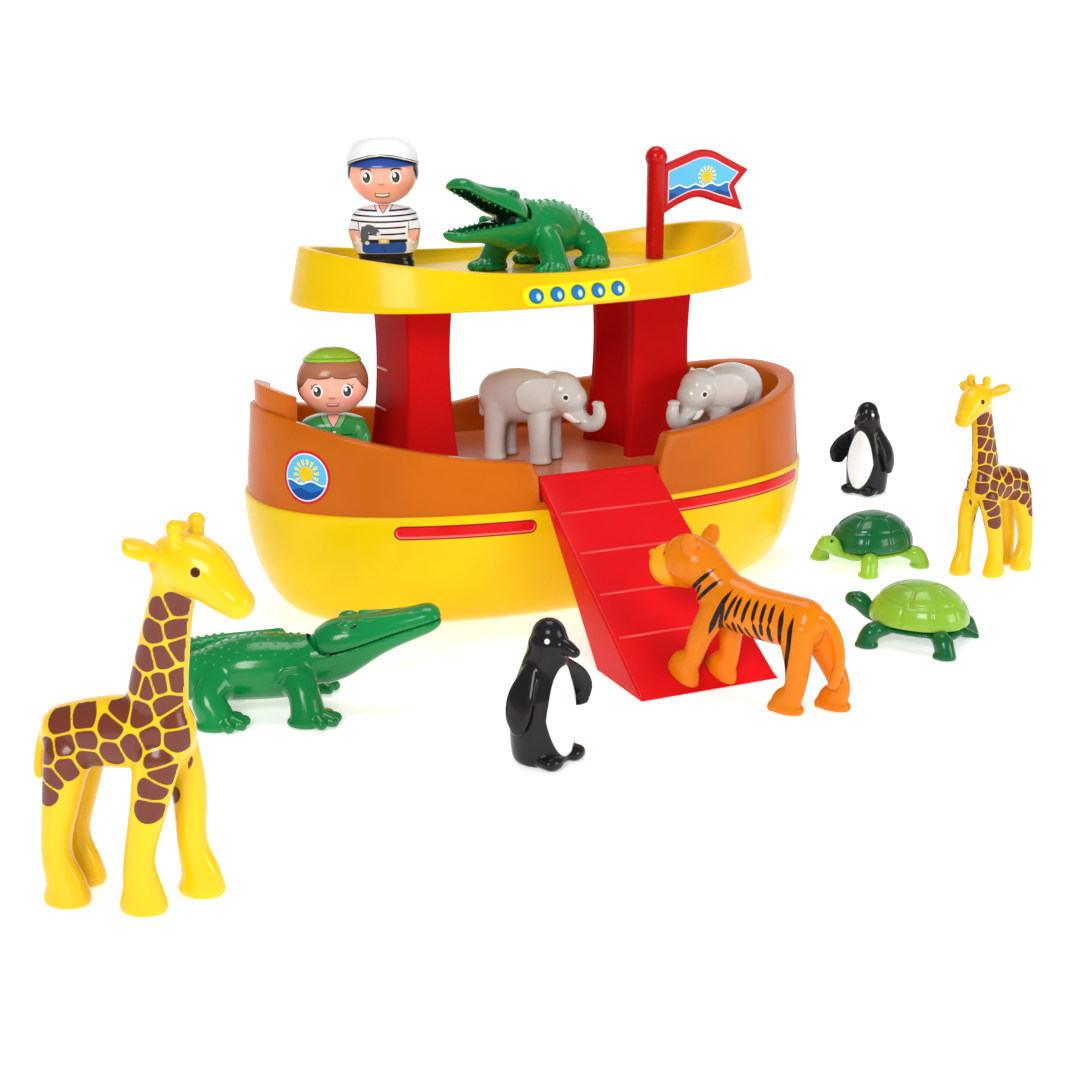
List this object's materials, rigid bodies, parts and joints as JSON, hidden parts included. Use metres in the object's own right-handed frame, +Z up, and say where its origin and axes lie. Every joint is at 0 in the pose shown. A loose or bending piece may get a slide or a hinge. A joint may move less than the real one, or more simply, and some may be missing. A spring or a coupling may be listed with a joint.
{
  "type": "toy ark play set",
  "caption": "Round-bowed toy ark with a hinged boarding ramp, pillared roof and flag, with chunky figures and pairs of animals that stand on its deck, roof and floor.",
  "frame": {"origin": "middle of the hull's flat bottom, on the floor", "axes": "+X from bow to stern, +Y away from the ramp, +Z up"},
  "size_m": [0.7376, 0.5217, 0.289],
  "materials": {
    "hull_yellow": "moulded gloss",
    "bulwark_brown": "moulded gloss",
    "deck_orange": "moulded gloss",
    "bright_red": "moulded gloss",
    "pillar_red": "moulded gloss",
    "roof_yellow": "moulded gloss",
    "shirt_white": "moulded gloss",
    "skin": "moulded gloss",
    "shirt_green": "moulded gloss",
    "cap_lime": "moulded gloss",
    "giraffe_yellow": "moulded gloss",
    "elephant_grey": "moulded gloss",
    "penguin_black": "moulded gloss",
    "turtle_green": "moulded gloss",
    "turtle_lime": "moulded gloss",
    "tiger_orange": "moulded gloss",
    "crocodile_green": "moulded gloss",
    "pin_green": "moulded gloss"
  },
  "bodies": {
    "ark": {"hull": "hull_yellow", "bulwark": "bulwark_brown", "deck": "deck_orange", "bow_pillar": "pillar_red", "stern_pillar": "pillar_red", "roof": "roof_yellow", "ramp_rod": "bright_red"},
    "ramp": {"ramp": "bright_red"},
    "flag": {"flag": "bright_red"},
    "captain": {"captain_body": "shirt_white"},
    "captain_head": {"captain_head": "skin", "captain_cap": "shirt_white"},
    "keeper": {"keeper_body": "shirt_green"},
    "keeper_head": {"keeper_head": "skin", "keeper_cap": "cap_lime"},
    "giraffe_1": {"giraffe_1": "giraffe_yellow"},
    "giraffe_2": {"giraffe_2": "giraffe_yellow"},
    "elephant_1": {"elephant_1": "elephant_grey"},
    "elephant_2": {"elephant_2": "elephant_grey"},
    "penguin_1": {"penguin_1": "penguin_black"},
    "penguin_2": {"penguin_2": "penguin_black"},
    "turtle_1": {"turtle_1_body": "turtle_green", "turtle_1_shell": "turtle_lime"},
    "turtle_2": {"turtle_2_body": "turtle_lime", "turtle_2_shell": "turtle_green"},
    "tiger": {"tiger": "tiger_orange"},
    "floor_crocodile": {"floor_crocodile_body": "crocodile_green", "floor_crocodile_pin": "pin_green"},
    "floor_crocodile_jaw": {"floor_crocodile_jaw": "crocodile_green"},
    "roof_crocodile": {"roof_crocodile_body": "crocodile_green", "roof_crocodile_pin": "pin_green"},
    "roof_crocodile_jaw": {"roof_crocodile_jaw": "crocodile_green"}
  },
  "joints": [
    {"name": "ramp_hinge", "type": "hinge", "parent": "ark", "child": "ramp", "pos_m": [-0.002, -0.094, 0.09], "axis": [-1, 0, 0], "range_deg": [0, 40]},
    {"name": "flag_swivel", "type": "hinge", "parent": "ark", "child": "flag", "pos_m": [0.088, 0, 0.207], "axis": [0, 0, 1], "range_deg": [-110, 110]},
    {"name": "captain_lift", "type": "slide", "parent": "ark", "child": "captain", "axis": [-0.0162, 0, 0.9999], "range_m": [0, 0.05]},
    {"name": "captain_head_turn", "type": "hinge", "parent": "captain", "child": "captain_head", "pos_m": [-0.095, 0.01, 0.20451], "axis": [-0.0162, 0, 0.9999], "continuous": true},
    {"name": "keeper_lift", "type": "slide", "parent": "ark", "child": "keeper", "axis": [0, 0, 1], "range_m": [0, 0.02]},
    {"name": "keeper_head_turn", "type": "hinge", "parent": "keeper", "child": "keeper_head", "pos_m": [-0.143, -0.022, 0.084], "axis": [0, 0, 1], "continuous": true},
    {"name": "giraffe_1_lift", "type": "slide", "parent": "ark", "child": "giraffe_1", "axis": [0, 0, 1], "range_m": [0, 0.06]},
    {"name": "giraffe_2_lift", "type": "slide", "parent": "ark", "child": "giraffe_2", "axis": [0, 0, 1], "range_m": [0, 0.06]},
    {"name": "elephant_1_lift", "type": "slide", "parent": "ark", "child": "elephant_1", "axis": [0, 0, 1], "range_m": [0, 0.03]},
    {"name": "elephant_2_lift", "type": "slide", "parent": "ark", "child": "elephant_2", "axis": [0, 0, 1], "range_m": [0, 0.03]},
    {"name": "penguin_1_lift", "type": "slide", "parent": "ark", "child": "penguin_1", "axis": [0, 0, 1], "range_m": [0, 0.06]},
    {"name": "penguin_2_lift", "type": "slide", "parent": "ark", "child": "penguin_2", "axis": [0, 0, 1], "range_m": [0, 0.06]},
    {"name": "turtle_1_lift", "type": "slide", "parent": "ark", "child": "turtle_1", "axis": [0, 0, 1], "range_m": [0, 0.06]},
    {"name": "turtle_2_lift", "type": "slide", "parent": "ark", "child": "turtle_2", "axis": [0, 0, 1], "range_m": [0, 0.06]},
    {"name": "tiger_lift", "type": "slide", "parent": "ramp", "child": "tiger", "axis": [0, 0, 1], "range_m": [0, 0.04]},
    {"name": "floor_crocodile_lift", "type": "slide", "parent": "ark", "child": "floor_crocodile", "axis": [0, 0, 1], "range_m": [0, 0.06]},
    {"name": "roof_crocodile_lift", "type": "slide", "parent": "ark", "child": "roof_crocodile", "axis": [-0.0162, 0, 0.9999], "range_m": [0, 0.05]},
    {"name": "floor_crocodile_bite", "type": "hinge", "parent": "floor_crocodile", "child": "floor_crocodile_jaw", "pos_m": [-0.19952, -0.16858, 0.033], "axis": [-0.309, -0.9511, 0], "range_deg": [0, 24]},
    {"name": "roof_crocodile_bite", "type": "hinge", "parent": "roof_crocodile", "child": "roof_crocodile_jaw", "pos_m": [-0.02538, -0.0235, 0.23864], "axis": [-0.4999, 0.866, -0.0081], "range_deg": [-24, 0]}
  ]
}
